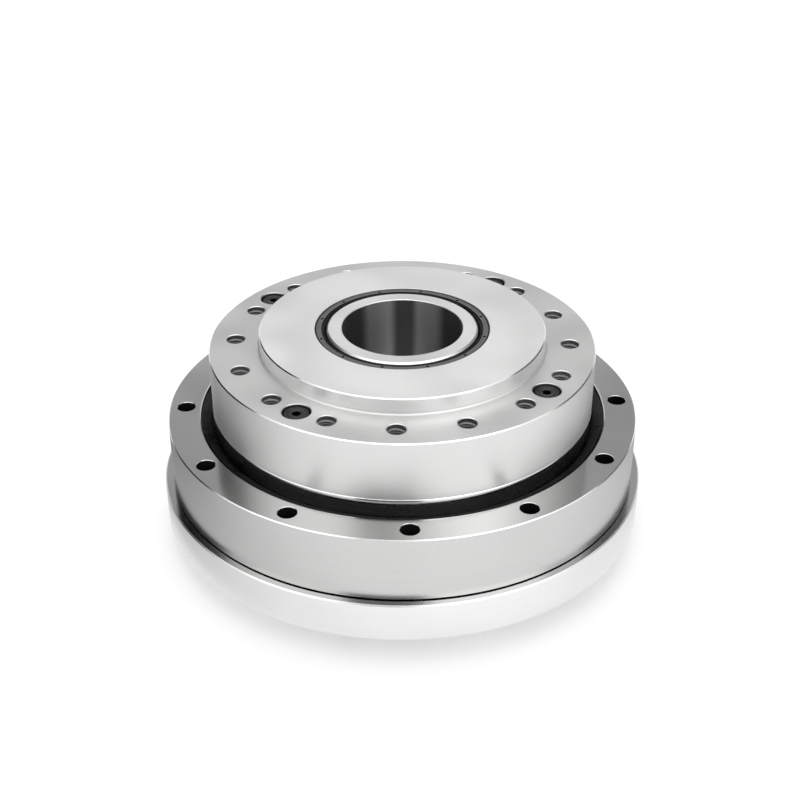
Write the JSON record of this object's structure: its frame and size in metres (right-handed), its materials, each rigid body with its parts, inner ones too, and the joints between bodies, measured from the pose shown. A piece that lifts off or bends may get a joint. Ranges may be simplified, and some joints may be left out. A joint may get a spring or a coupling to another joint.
{
  "type": "strain wave gear",
  "caption": "Round stepped strain wave gear unit with a hollow input shaft, elliptical cam, toothed flexspline and crossed roller output bearing.",
  "frame": {"origin": "on the gear's axis, in the rear mounting face of the housing", "axes": "+Z along the gear's axis towards the output flange, +X through one of the housing bolt holes"},
  "size_m": [0.147, 0.147, 0.0655],
  "materials": {
    "ground_steel": "fine turned and ground",
    "shaft_steel": "ground",
    "gear_steel": "satin",
    "bearing_steel": "polished",
    "black_oxide_steel": "black oxide",
    "black_rubber": "moulded, slightly oily",
    "cage_polyamide": "moulded"
  },
  "bodies": {
    "housing": {"rear_cover": "ground_steel", "cover_screws": "black_oxide_steel", "cover_oring": "black_rubber", "bearing_outer_ring": "ground_steel", "loading_plug": "ground_steel", "loading_plug_pin": "ground_steel", "output_seal": "black_rubber", "flexspline": "gear_steel", "flex_bearing_outer_ring": "bearing_steel", "rear_bearing_outer_ring": "bearing_steel", "rear_shaft_seal": "black_rubber"},
    "output": {"output_flange": "ground_steel", "circular_spline": "gear_steel", "bearing_inner_ring": "ground_steel", "output_screws": "black_oxide_steel", "output_dowels": "bearing_steel", "output_oring": "black_rubber", "front_bearing_outer_ring": "bearing_steel", "front_shaft_seal": "black_rubber"},
    "input_shaft": {"hollow_shaft": "shaft_steel", "flex_bearing_inner_ring": "bearing_steel", "rear_bearing_inner_ring": "bearing_steel", "front_bearing_inner_ring": "bearing_steel"},
    "roller_set": {"crossed_rollers": "bearing_steel", "roller_spacers": "cage_polyamide"},
    "rear_ball_set": {"rear_bearing_balls": "bearing_steel", "rear_bearing_cage": "cage_polyamide"},
    "front_ball_set": {"front_bearing_balls": "bearing_steel", "front_bearing_cage": "cage_polyamide"},
    "flex_ball_set": {"flex_bearing_balls": "bearing_steel", "flex_bearing_cage": "cage_polyamide"}
  },
  "joints": [
    {"name": "output_rotation", "type": "hinge", "parent": "housing", "child": "output", "pos_m": [0, 0, 0.019], "axis": [0, 0, 1], "continuous": true},
    {"name": "input_rotation", "type": "hinge", "parent": "housing", "child": "input_shaft", "pos_m": [0, 0, 0.033], "axis": [0, 0, 1], "continuous": true, "deforming": ["flexspline", "flex_bearing_outer_ring", "flex_bearing_balls", "flex_bearing_cage"]},
    {"name": "crossed_roller_orbit", "type": "hinge", "parent": "housing", "child": "roller_set", "pos_m": [0, 0, 0.019], "axis": [0, 0, 1], "continuous": true},
    {"name": "rear_ball_orbit", "type": "hinge", "parent": "housing", "child": "rear_ball_set", "pos_m": [0, 0, 0.008], "axis": [0, 0, 1], "continuous": true},
    {"name": "front_ball_orbit", "type": "hinge", "parent": "housing", "child": "front_ball_set", "pos_m": [0, 0, 0.0475], "axis": [0, 0, 1], "continuous": true},
    {"name": "flex_ball_orbit", "type": "hinge", "parent": "housing", "child": "flex_ball_set", "pos_m": [0, 0, 0.033], "axis": [0, 0, 1], "continuous": true}
  ],
  "couplings": [
    {"joint": "input_rotation", "follows": "output_rotation", "ratio": 51},
    {"joint": "crossed_roller_orbit", "follows": "output_rotation", "ratio": 0.48139},
    {"joint": "rear_ball_orbit", "follows": "output_rotation", "ratio": 23.52},
    {"joint": "front_ball_orbit", "follows": "output_rotation", "ratio": 24.059},
    {"joint": "flex_ball_orbit", "follows": "output_rotation", "ratio": 22.744}
  ]
}
